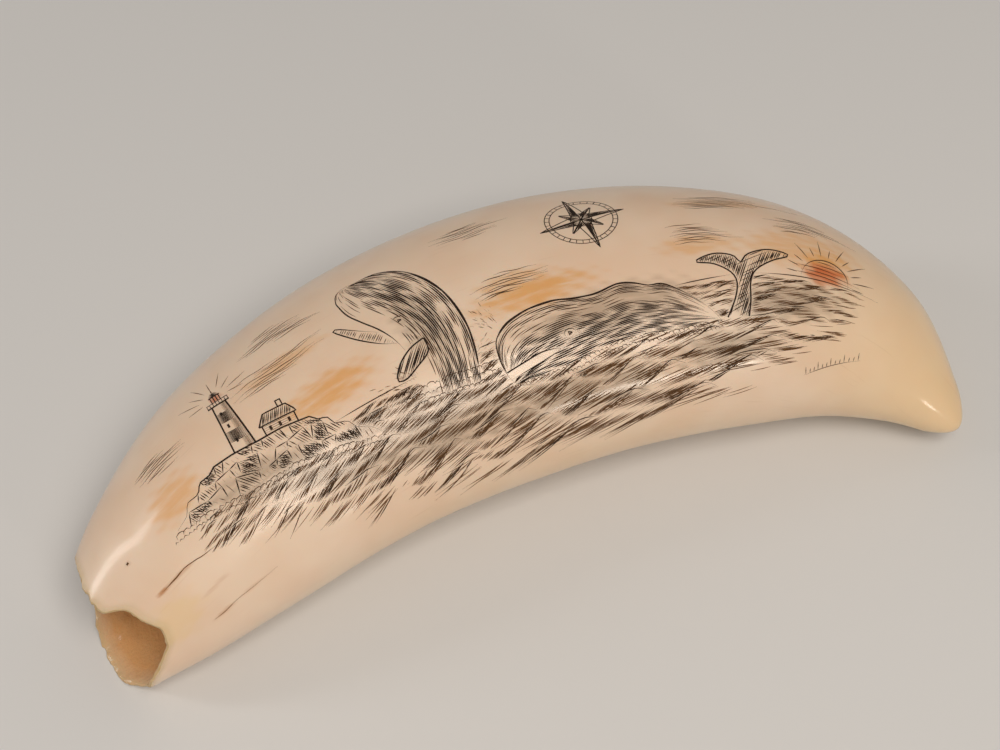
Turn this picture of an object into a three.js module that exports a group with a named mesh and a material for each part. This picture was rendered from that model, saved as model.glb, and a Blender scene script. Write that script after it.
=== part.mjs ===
// A scrimshaw whale tooth, lying on its side: one piece of dentine with a broken, hollow root.
//
// Millimetres, +Z up. The bend lies flat in the XY plane, with the root at -X, the tip at +X and
// the inside of the bend facing -Y. The origin is on the surface that the tooth lies on, under
// the middle of its box.
import * as THREE from 'three';

// Driving sizes, in millimetres.
const SPINE_LENGTH = 197; // along the bent middle line, from the old root edge to the tip
const GREATEST_WIDTH = 57.4; // across the tooth, in the plane of its bend
const GREATEST_THICKNESS = 43.4; // through the tooth, square to its bend
const TIP_ROUNDING = 5.5; // length of the blunt, worn cap at the tip
const TIP_LIFT = 5; // how far the underside of the tip curls up from the surface
const REST_FLAT_DEPTH = 0.5; // what is worn off the underside, where the tooth lies
const ROOT_LOST = 9.6; // length broken off the root edge, on average
const WALL_AT_RIM = 1.6; // thickness of the root's wall at the break
const CAVITY_DEPTH = 48; // pulp cavity, from the broken rim to its blunt apex

// Form, as angles and shares. Stations are evenly spaced from the root to the tip.
const HEADINGS_DEG = [31, 28.5, 12.4, -3, -26, -67]; // of the middle line, from +X towards +Y
const WIDTH_SHARES = [0.354, 0.62, 0.813, 0.913, 0.975, 1, 0.979, 0.913, 0.777, 0.508, 0.13];
const WIDEST_AT = 0.5; // share of the length where the width and thickness are greatest
const TIP_FULLNESS = 0.185; // how much rounder the section is towards the tip
const LIFT_STARTS = 0.6; // share of the length where the underside leaves the surface
const CAVITY_TAPER = 0.75; // 1 is a straight cone, less is blunter

// The uneven break: how far it bites into the wall past the average, in millimetres, at evenly
// spaced angles once round the section, from the outside of the bend over the top. Below zero
// the wall is left standing, as it is in the tongue over the top and along the underside.
const RIM_BITES = [
  3.8, 3.7, 2.9, 1.6, -0.1, -1, -1.4, 1.2, 2, 3.3, 2.5, -0.2,
  -2.3, -2.6, -2.4, -3, -4, -3.9, -3.2, -2, -0.7, 1.9, 2.4, 3.3,
];

// Fineness of the facets.
const SEGMENTS_AROUND = 60;
const BODY_ROWS = 42;
const TIP_ROWS = 7;
const CAVITY_ROWS = 14;
const SPINE_STEPS = 400;
const RIM_FADE = 26; // length over which the rows lose the jagged shape of the rim
const ROW_CROWDING = 1.3; // above 1 sets the rows closer together near the rim
const APEX_CROWDING = 1.5; // above 1 sets the cavity's rows closer together near its apex

const FULL_TURN = 2 * Math.PI;
const radians = THREE.MathUtils.degToRad;
const clamp = THREE.MathUtils.clamp;
const smoothstep = THREE.MathUtils.smoothstep;

// A smooth curve through evenly spaced values, read at a share of its length.
function curveThrough(values) {
  const curve = new THREE.SplineCurve(values.map((value, i) => new THREE.Vector2(i, value)));
  return (share) => curve.getPoint(clamp(share, 0, 1)).y;
}

const headingAt = curveThrough(HEADINGS_DEG);
const widthShareAt = curveThrough(WIDTH_SHARES);
const rimBiteAt = curveThrough([...RIM_BITES, RIM_BITES[0]]);

// The bent middle line: points that follow the headings in equal steps.
function walkSpine() {
  const step = SPINE_LENGTH / SPINE_STEPS;
  const points = [new THREE.Vector2(0, 0)];
  for (let i = 0; i < SPINE_STEPS; i++) {
    const heading = radians(headingAt((i + 0.5) / SPINE_STEPS));
    const stride = new THREE.Vector2(Math.cos(heading), Math.sin(heading)).multiplyScalar(step);
    points.push(points[i].clone().add(stride));
  }
  return points;
}

const spine = walkSpine();

// A point of the middle line, which runs on straight before its start.
function spinePoint(along) {
  const place = (along / SPINE_LENGTH) * SPINE_STEPS;
  const i = clamp(Math.floor(place), 0, SPINE_STEPS - 1);
  return spine[i].clone().lerp(spine[i + 1], place - i);
}

// The oval section at a distance along the middle line: its half width and half thickness
// before the tip is rounded, and the share of them that the rounding leaves.
function sectionAt(along) {
  const share = along / SPINE_LENGTH;
  const roundness = 1 + TIP_FULLNESS * (share ** 3 - WIDEST_AT ** 3);
  const intoTip = clamp(1 - (SPINE_LENGTH - along) / TIP_ROUNDING, 0, 1);
  return {
    halfWidth: (GREATEST_WIDTH / 2) * widthShareAt(share),
    halfThickness: (GREATEST_THICKNESS / 2) * widthShareAt(share) * roundness,
    left: Math.sqrt(1 - intoTip ** 2),
  };
}

// The middle line's height. The undersides are level up to where the tip lifts, and would
// reach below the surface by what the rest flat takes off.
function centreHeight(along) {
  const lifting = Math.max(0, (along / SPINE_LENGTH - LIFT_STARTS) / (1 - LIFT_STARTS));
  return sectionAt(along).halfThickness - REST_FLAT_DEPTH + TIP_LIFT * lifting ** 2;
}

// A point of an oval with the given half sizes, at an angle from the outside of the bend over
// the top, and never below the floor.
function ovalPoint(along, angle, halfWidth, halfThickness, floor) {
  const centre = spinePoint(along);
  const heading = radians(headingAt(along / SPINE_LENGTH));
  const across = halfWidth * Math.cos(angle);
  const height = centreHeight(along) + halfThickness * Math.sin(angle);
  return [
    centre.x - across * Math.sin(heading),
    centre.y + across * Math.cos(heading),
    Math.max(floor, height),
  ];
}

function outerPoint(along, angle) {
  const { halfWidth, halfThickness, left } = sectionAt(along);
  return ovalPoint(along, angle, halfWidth * left, halfThickness * left, 0);
}

// A point of the cavity's wall, where a share of its full opening is left. Its floor keeps a
// whole wall above the rest flat.
function cavityPoint(along, angle, openShare) {
  const { halfWidth, halfThickness } = sectionAt(along);
  const openHalfWidth = (halfWidth - WALL_AT_RIM) * openShare;
  const openHalfThickness = (halfThickness - WALL_AT_RIM) * openShare;
  return ovalPoint(along, angle, openHalfWidth, openHalfThickness, WALL_AT_RIM);
}

// How far the broken rim stands from the old root edge, at an angle round the section.
function rimAt(angle) {
  return ROOT_LOST + rimBiteAt(angle / FULL_TURN);
}

// A distance along the middle line, moved near the root so that the rows start at the rim.
function fromRim(along, angle) {
  const fade = 1 - smoothstep(along - ROOT_LOST, 0, RIM_FADE);
  return along + (rimAt(angle) - ROOT_LOST) * fade;
}

// The rows of the outside, from the rim to just short of the tip.
function outerRows() {
  const rows = [];
  const bodyLength = SPINE_LENGTH - TIP_ROUNDING - ROOT_LOST;
  for (let i = 0; i <= BODY_ROWS; i++) {
    rows.push(ROOT_LOST + bodyLength * (i / BODY_ROWS) ** ROW_CROWDING);
  }
  for (let i = 1; i < TIP_ROWS; i++) {
    const intoTip = Math.sin((i / TIP_ROWS) * (Math.PI / 2));
    rows.push(SPINE_LENGTH - TIP_ROUNDING * (1 - intoTip));
  }
  return rows;
}

// A closed skin made of rings of points, joined one to the next. The first and the last ring
// are closed by a fan to an end point of their own.
class Skin {
  constructor() {
    this.points = [];
    this.faces = [];
  }

  addPoint(point) {
    this.points.push(point);
    return this.points.length - 1;
  }

  addRing(pointAt) {
    const ring = [];
    for (let k = 0; k < SEGMENTS_AROUND; k++) {
      ring.push(this.addPoint(pointAt((k / SEGMENTS_AROUND) * FULL_TURN)));
    }
    return ring;
  }

  joinRings(from, to) {
    for (let k = 0; k < SEGMENTS_AROUND; k++) {
      const next = (k + 1) % SEGMENTS_AROUND;
      this.faces.push(from[k], from[next], to[next]);
      this.faces.push(from[k], to[next], to[k]);
    }
  }

  fanTo(end, ring) {
    for (let k = 0; k < SEGMENTS_AROUND; k++) {
      this.faces.push(ring[k], ring[(k + 1) % SEGMENTS_AROUND], end);
    }
  }

  geometry() {
    const geometry = new THREE.BufferGeometry();
    geometry.setAttribute('position', new THREE.Float32BufferAttribute(this.points.flat(), 3));
    geometry.setIndex(this.faces);
    geometry.computeVertexNormals();
    return geometry;
  }
}

// One skin: from the cavity's apex out to the rim, and along the outside to the tip.
function toothGeometry() {
  const skin = new Skin();
  const rings = [];
  for (let i = CAVITY_ROWS - 1; i >= 0; i--) {
    const shareLeft = (1 - i / CAVITY_ROWS) ** APEX_CROWDING;
    const along = ROOT_LOST + CAVITY_DEPTH * (1 - shareLeft);
    const openShare = shareLeft ** CAVITY_TAPER;
    rings.push(skin.addRing((angle) => cavityPoint(fromRim(along, angle), angle, openShare)));
  }
  for (const along of outerRows()) {
    rings.push(skin.addRing((angle) => outerPoint(fromRim(along, angle), angle)));
  }
  for (let i = 1; i < rings.length; i++) skin.joinRings(rings[i - 1], rings[i]);
  const apex = skin.addPoint(cavityPoint(ROOT_LOST + CAVITY_DEPTH, 0, 0));
  skin.fanTo(apex, [...rings[0]].reverse());
  const tip = skin.addPoint(outerPoint(SPINE_LENGTH, 0));
  skin.fanTo(tip, rings[rings.length - 1]);
  return skin.geometry();
}

function makeTooth() {
  const geometry = toothGeometry();
  geometry.computeBoundingBox();
  const centre = geometry.boundingBox.getCenter(new THREE.Vector3());
  geometry.translate(-centre.x, -centre.y, -geometry.boundingBox.min.z);
  const dentine = new THREE.MeshStandardMaterial({ color: 0xeedcc4, roughness: 0.3, metalness: 0 });
  const tooth = new THREE.Mesh(geometry, dentine);
  tooth.name = 'tooth';
  return tooth;
}

const group = new THREE.Group();
group.add(makeTooth());

export default group;
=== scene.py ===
"""A scrimshaw whale tooth, lying loose on its side: the looks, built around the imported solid.

Sizes in the classes are millimetres on the real tooth, and meshes are made in metres in the
frame of the solid. A place on the tooth is given as a picture is drawn on it: along, the
distance down the bent middle line from the old root edge, and height, the distance over the
skin from the picture's middle line towards the outside of the bend.
"""

import logging
import math
from collections.abc import Callable
from dataclasses import dataclass, field
from enum import Enum
from functools import partial

import bpy
import numpy as np
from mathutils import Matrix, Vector


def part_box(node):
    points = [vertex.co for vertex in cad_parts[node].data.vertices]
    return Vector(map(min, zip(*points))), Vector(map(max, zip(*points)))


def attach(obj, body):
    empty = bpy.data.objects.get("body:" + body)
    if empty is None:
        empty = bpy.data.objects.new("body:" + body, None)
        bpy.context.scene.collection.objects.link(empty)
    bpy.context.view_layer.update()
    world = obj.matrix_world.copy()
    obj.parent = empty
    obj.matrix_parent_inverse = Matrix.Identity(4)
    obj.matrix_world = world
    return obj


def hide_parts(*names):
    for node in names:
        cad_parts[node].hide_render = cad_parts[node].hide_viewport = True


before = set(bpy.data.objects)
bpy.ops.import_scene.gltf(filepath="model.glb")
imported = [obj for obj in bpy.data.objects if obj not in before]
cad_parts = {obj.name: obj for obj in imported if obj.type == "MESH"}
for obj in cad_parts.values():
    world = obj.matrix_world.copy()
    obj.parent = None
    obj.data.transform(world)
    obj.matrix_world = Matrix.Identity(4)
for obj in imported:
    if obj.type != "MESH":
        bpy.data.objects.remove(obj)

MM = 0.001
BODY = "root"
log = logging.getLogger("tooth")
Points = np.ndarray
Line = tuple[tuple[float, float], ...]
Socket = bpy.types.NodeSocket


def linear(hex_colour: str) -> tuple[float, float, float, float]:
    """Turns an sRGB colour to linear RGBA.

    Args:
        hex_colour: Six hex digits, with or without a hash.

    Returns:
        Linear red, green and blue, and an alpha of 1.
    """
    digits = hex_colour.lstrip("#")
    parts = [int(digits[i : i + 2], 16) / 255 for i in (0, 2, 4)]
    return (*[p / 12.92 if p <= 0.04045 else ((p + 0.055) / 1.055) ** 2.4 for p in parts], 1.0)


def add_node(
    tree: bpy.types.NodeTree,
    kind: str,
    settings: dict | None = None,
    values: dict | None = None,
    links: dict | None = None,
) -> bpy.types.Node:
    """Adds one node to a tree.

    Args:
        tree: A material's or a modifier's node tree.
        kind: The node's type name.
        settings: Properties of the node, by name.
        values: Default values of its inputs, by name or number.
        links: Output sockets that feed its inputs, by name or number.

    Returns:
        The new node.
    """
    node = tree.nodes.new(kind)
    for name, value in (settings or {}).items():
        setattr(node, name, value)
    for socket, value in (values or {}).items():
        node.inputs[socket].default_value = value
    for socket, source in (links or {}).items():
        tree.links.new(source, node.inputs[socket])
    return node


def start_material(name: str, values: dict) -> tuple[bpy.types.Material, bpy.types.Node]:
    """Starts a material.

    Args:
        name: The material's name.
        values: Values for its shader's own sockets, by name.

    Returns:
        The material, and its shader.
    """
    material = bpy.data.materials.new(name)
    material.use_nodes = True
    shader = material.node_tree.nodes["Principled BSDF"]
    for socket, value in values.items():
        shader.inputs[socket].default_value = value
    return material, shader


def add_object(name: str, data: bpy.types.ID) -> bpy.types.Object:
    """Puts a mesh, a light or a camera into the scene, at the origin.

    Args:
        name: The object's name.
        data: What it shows.

    Returns:
        The object.
    """
    thing = bpy.data.objects.new(name, data)
    bpy.context.scene.collection.objects.link(thing)
    return thing


def store(mesh: bpy.types.Mesh, name: str, values: Points) -> None:
    """Gives each point of a mesh a number, or a vector where the values are rows.

    Args:
        mesh: The mesh.
        name: The name that its finish reads.
        values: One value or row a point.
    """
    rows = values.ndim == 2
    attribute = mesh.attributes.new(name, "FLOAT_VECTOR" if rows else "FLOAT", "POINT")
    attribute.data.foreach_set("vector" if rows else "value", values.astype(np.float32).ravel())


def smooth_curve(values: tuple[float, ...], share: Points) -> Points:
    """Reads a smooth curve through evenly spaced values.

    Args:
        values: The values, from share 0 to share 1.
        share: Where to read it, held between 0 and 1.

    Returns:
        The curve's values there.
    """
    knots = np.array([values[0], *values, values[-1]])
    place = np.clip(share, 0, 1) * (len(values) - 1)
    i = np.minimum(place.astype(int), len(values) - 2)
    f = place - i
    before, start, end, after = knots[i], knots[i + 1], knots[i + 2], knots[i + 3]
    leave, arrive = (end - before) / 2, (after - start) / 2
    cubic = (2 * start - 2 * end + leave + arrive) * f**3
    square = (3 * end - 3 * start - 2 * leave - arrive) * f**2
    return cubic + square + leave * f + start


def smooth_step(x: Points, low: float, high: float) -> Points:
    """Rises smoothly from 0 at low to 1 at high."""
    t = np.clip((x - low) / (high - low), 0, 1)
    return t * t * (3 - 2 * t)


def rounded(points: Line | list, per_span: int = 8) -> Points:
    """A smooth open line through a few points.

    Args:
        points: The points, in order.
        per_span: How many steps each span is given.

    Returns:
        The line's points.
    """
    p = np.asarray(points, float)
    share = np.linspace(0, 1, (len(p) - 1) * per_span + 1)
    return np.stack([smooth_curve(tuple(p[:, i]), share) for i in (0, 1)], -1)


def oval(x: float, y: float, half_wide: float, half_high: float, count: int) -> Points:
    """A closed oval round a point, its first corner given again at its end."""
    turn = np.linspace(0, math.tau, count)
    return np.stack([x + half_wide * np.cos(turn), y + half_high * np.sin(turn)], -1)


def direction(degrees: float) -> tuple[float, float]:
    """The cosine and the sine of an angle."""
    return math.cos(math.radians(degrees)), math.sin(math.radians(degrees))


def run_lengths(line: Points) -> Points:
    """How far each point of a line lies from its start, along the line."""
    return np.concatenate([[0], np.cumsum(np.hypot(*np.diff(line, axis=0).T))])


def read_line(line: Points, lengths: Points, marks: Points) -> Points:
    """The points of a line at marks among its own lengths."""
    return np.stack([np.interp(marks, lengths, line[:, i]) for i in (0, 1)], -1)


def stretches(wanted: Points) -> list[tuple[int, int]]:
    """Where each run of true values starts, and where it has ended."""
    edges = np.flatnonzero(np.diff(np.concatenate([[0], wanted.astype(int), [0]])))
    return list(zip(edges[::2], edges[1::2]))


def inside(points: Points, outline: Points) -> Points:
    """Tells which points lie inside a closed outline.

    Args:
        points: Rows of two.
        outline: The corners, in order, as rows of two.

    Returns:
        One truth value a point.
    """
    x, y = points[:, :1], points[:, 1:]
    x0, y0 = outline.T
    x1, y1 = np.roll(outline, -1, axis=0).T
    at = x0 + (y - y0) / np.where(y1 == y0, 1, y1 - y0) * (x1 - x0)
    return (((y0 > y) != (y1 > y)) & (x < at)).sum(1) % 2 == 1


@dataclass
class ToothForm:
    """The tooth's shape by rule: an oval section carried along a bent middle line."""

    spine_length: float = 197.0
    greatest_width: float = 57.4
    greatest_thickness: float = 43.4
    tip_rounding: float = 5.5
    tip_lift: float = 5.0
    rest_flat_depth: float = 0.5
    root_lost: float = 9.6
    wall_at_rim: float = 1.6
    cavity_depth: float = 48.0
    cavity_taper: float = 0.75
    widest_at: float = 0.5
    tip_fullness: float = 0.185
    lift_starts: float = 0.6
    rim_fade: float = 26.0
    headings_deg: tuple[float, ...] = (31, 28.5, 12.4, -3, -26, -67)
    width_shares: tuple[float, ...] = (
        0.354, 0.62, 0.813, 0.913, 0.975, 1, 0.979, 0.913, 0.777, 0.508, 0.13,
    )
    rim_bites: tuple[float, ...] = (
        3.8, 3.7, 2.9, 1.6, -0.1, -1, -1.4, 1.2, 2, 3.3, 2.5, -0.2,
        -2.3, -2.6, -2.4, -3, -4, -3.9, -3.2, -2, -0.7, 1.9, 2.4, 3.3,
    )
    polish_waviness: float = 0.07
    cavity_roughness: float = 0.2
    rim_bulge: float = 0.45
    skin_allowance: float = 0.04
    picture_middle_deg: float = 120.0
    spine_steps: int = 800
    scale: float = MM
    shift: Points = field(default_factory=lambda: np.zeros(3))

    def __post_init__(self) -> None:
        """Walks the bent middle line once."""
        share = (np.arange(self.spine_steps) + 0.5) / self.spine_steps
        heading = np.radians(smooth_curve(self.headings_deg, share))
        stride = self.spine_length / self.spine_steps
        self._marks = np.linspace(0, self.spine_length, self.spine_steps + 1)
        self._x = np.concatenate([[0], np.cumsum(np.cos(heading) * stride)])
        self._y = np.concatenate([[0], np.cumsum(np.sin(heading) * stride)])

    def section(self, along: Points) -> tuple[Points, Points, Points]:
        """The oval at a distance along the middle line.

        Args:
            along: Distances from the old root edge.

        Returns:
            Half widths, half thicknesses, and the share of them that the tip's rounding leaves.
        """
        share = along / self.spine_length
        width = smooth_curve(self.width_shares, share)
        roundness = 1 + self.tip_fullness * (share**3 - self.widest_at**3)
        into_tip = np.clip(1 - (self.spine_length - along) / self.tip_rounding, 0, 1)
        half_thickness = self.greatest_thickness / 2 * width * roundness
        return self.greatest_width / 2 * width, half_thickness, np.sqrt(1 - into_tip**2)

    def place(self, along: Points, across: Points, up: Points, floor: Points) -> Points:
        """Places points by their offsets from the middle line, and never below the floor.

        Args:
            along: Distances from the old root edge.
            across: Offsets towards the outside of the bend.
            up: Offsets upwards.
            floor: The least height of each point.

        Returns:
            Points in the frame, in metres, as rows of three.
        """
        share = along / self.spine_length
        heading = np.radians(smooth_curve(self.headings_deg, share))
        early = np.minimum(along, 0)
        x = np.interp(along, self._marks, self._x) + early * np.cos(heading)
        y = np.interp(along, self._marks, self._y) + early * np.sin(heading)
        lifting = np.maximum(0, (share - self.lift_starts) / (1 - self.lift_starts))
        z = self.section(along)[1] - self.rest_flat_depth + self.tip_lift * lifting**2 + up
        placed = [x - across * np.sin(heading), y + across * np.cos(heading), np.maximum(floor, z)]
        return np.stack(np.broadcast_arrays(*placed), -1) * self.scale + self.shift

    def relief(self, along: Points, angle: Points) -> Points:
        """How far hand polishing has taken the skin in, in shallow flats and hollows.

        Args:
            along: Distances from the old root edge.
            angle: Angles round the section, from the outside of the bend over the top.

        Returns:
            What is taken off there.
        """
        slow = np.sin(along / 11 + 1.7 * np.sin(2 * angle)) * np.sin(3 * angle + along / 23)
        quick = 0.35 * np.sin(along / 4.3 + 2 * angle) * np.sin(7 * angle - along / 9)
        return self.polish_waviness * (1.35 + slow + quick)

    def outer(self, along: Points, angle: Points, raised: float = 0.0) -> Points:
        """Points of the outside.

        Args:
            along: Distances from the old root edge.
            angle: Angles round the section, from the outside of the bend over the top.
            raised: How far they stand above the skin.

        Returns:
            Points in the frame, in metres.
        """
        half_width, half_thickness, left = self.section(along)
        taken = self.relief(along, angle) * left - raised
        across = (half_width * left - taken) * np.cos(angle)
        return self.place(along, across, (half_thickness * left - taken) * np.sin(angle), 0.0)

    def cavity(self, along: Points, angle: Points, open_share: Points, wall: Points) -> Points:
        """Points of the pulp cavity's wall, which is rough and faintly ringed.

        Args:
            along: Distances from the old root edge.
            angle: Angles round the section.
            open_share: The share of the cavity's full opening that is left.
            wall: The wall's thickness.

        Returns:
            Points in the frame, in metres.
        """
        half_width, half_thickness, _ = self.section(along)
        rings = 0.12 * np.sin(along * 1.9 + np.sin(3 * angle)) + 0.1 * np.sin(5 * angle + along / 3)
        wide = (half_width - wall + rings) * open_share - self.cavity_roughness
        tall = (half_thickness - wall + rings) * open_share - self.cavity_roughness
        return self.place(along, wide * np.cos(angle), tall * np.sin(angle), wall)

    def outward(self, along: Points, angle: Points) -> Points:
        """Unit vectors that point straight out of the skin.

        Args:
            along: Distances from the old root edge.
            angle: Angles round the section.

        Returns:
            Rows of three.
        """
        step, turn = 0.05, 0.002
        ahead = self.outer(along + step, angle) - self.outer(along - step, angle)
        over = self.outer(along, angle + turn) - self.outer(along, angle - turn)
        normal = np.cross(over, ahead)
        return normal / np.linalg.norm(normal, axis=-1, keepdims=True)

    def rim(self, angle: Points) -> Points:
        """How far the broken, finely splintered rim stands from the old root edge.

        Args:
            angle: Angles round the section.

        Returns:
            Distances along the middle line.
        """
        bite = smooth_curve((*self.rim_bites, self.rim_bites[0]), (angle / math.tau) % 1)
        splinters = 0.2 * np.sin(17 * angle + 2 * np.sin(5 * angle)) + 0.07 * np.sin(41 * angle)
        return self.root_lost + bite + splinters * (0.3 + 0.7 * np.sin(1.5 * angle) ** 2)

    def from_rim(self, along: Points, angle: Points) -> Points:
        """A distance along, moved near the root so that the rows start at the broken rim."""
        fade = 1 - smooth_step(along - self.root_lost, 0, self.rim_fade)
        return along + (self.rim(angle) - self.root_lost) * fade

    def arc_speed(self, along: Points, angle: Points) -> Points:
        """Millimetres over the skin for each radian round the section."""
        half_width, half_thickness, left = self.section(along)
        return np.hypot(half_width * np.sin(angle), half_thickness * np.cos(angle)) * left + 1e-6

    def arc_between(self, along: Points, angle: Points) -> Points:
        """The distance over the skin from an angle to the picture's middle line.

        Args:
            along: Distances from the old root edge.
            angle: Angles round the section.

        Returns:
            Heights in the picture.
        """
        middle = math.radians(self.picture_middle_deg)
        nodes = np.linspace(0, 1, 9)
        weights = np.array([1, 4, 2, 4, 2, 4, 2, 4, 1]) / 24
        between = [self.arc_speed(along, angle + (middle - angle) * t) for t in nodes]
        return (middle - angle) * sum(w * s for w, s in zip(weights, between))

    def angle_of(self, along: Points, height: Points) -> Points:
        """The angle round the section of a place in the picture.

        Args:
            along: Distances from the old root edge.
            height: Heights in the picture.

        Returns:
            Angles, from the outside of the bend over the top.
        """
        middle = math.radians(self.picture_middle_deg)
        angle = middle - height / self.arc_speed(along, np.full_like(along, middle))
        for _ in range(3):
            angle = angle + (self.arc_between(along, angle) - height) / self.arc_speed(along, angle)
        return angle

    def fit_to(self, low: Vector, high: Vector) -> None:
        """Sets the scale and shift that bring the form just inside the solid's box.

        Args:
            low: The box's lowest corner, in metres.
            high: Its highest corner.
        """
        marks, turns = np.linspace(0, self.spine_length, 500), np.linspace(0, math.tau, 577)
        along, angle = np.meshgrid(marks, turns)
        points = self.outer(self.from_rim(np.maximum(along, self.root_lost), angle), angle)
        crumbs = self.outer(self.rim(turns) - self.rim_bulge, turns)
        points = np.vstack([points.reshape(-1, 3), crumbs])
        own_low, own_high = points.min(0), points.max(0)
        room = np.array(high - low) - 2 * self.skin_allowance * MM
        ratio = float(min(room / (own_high - own_low)))
        self.scale *= ratio
        middle = (own_low + own_high) / 2 * ratio
        target = np.array((low + high) / 2)
        self.shift = np.array([target[0] - middle[0], target[1] - middle[1], low.z])


@dataclass(frozen=True)
class Tint:
    """A soft patch of colour rubbed into the skin, as a turned ellipse in the picture."""

    along: float
    height: float
    half_length: float
    half_height: float
    turn_deg: float = 0.0
    strength: float = 1.0

    def paint(self, along: Points, height: Points) -> Points:
        """The patch's strength at places in the picture.

        Args:
            along: Distances from the old root edge.
            height: Heights in the picture.

        Returns:
            Strengths, full in the middle and ragged at the edge.
        """
        c, s = direction(self.turn_deg)
        dx, dy = along - self.along, height - self.height
        x, y = (dx * c + dy * s) / self.half_length, (dy * c - dx * s) / self.half_height
        ragged = 0.16 * np.sin(1.3 * along + 2 * height) + 0.12 * np.sin(3.1 * height - along)
        return self.strength * (1 - smooth_step(np.hypot(x, y) + ragged * 0.6, 0.35, 1.0))


@dataclass
class Stroke:
    """One engraved line: places in the picture, its width, and how dark its ink is."""

    places: Points
    width: float
    tone: float
    point_start: bool
    point_end: bool


@dataclass(frozen=True)
class Placing:
    """Where a motif stands in the picture: its origin, its lean, and its size."""

    along: float
    height: float
    turn_deg: float = 0.0
    size: float = 1.0

    def put(self, points: Points | list | Line) -> Points:
        """Moves a motif's own points to their places in the picture.

        Args:
            points: Points in the motif's own millimetres.

        Returns:
            Rows of two.
        """
        x, y = (np.asarray(points, float).reshape(-1, 2) * self.size).T
        c, s = direction(self.turn_deg)
        return np.stack([self.along + x * c - y * s, self.height + x * s + y * c], -1)

    def curve(self, points: Line | list, per_span: int) -> Points:
        """Puts a smooth line through a motif's own points in its place."""
        return self.put(rounded(points, per_span))


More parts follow.
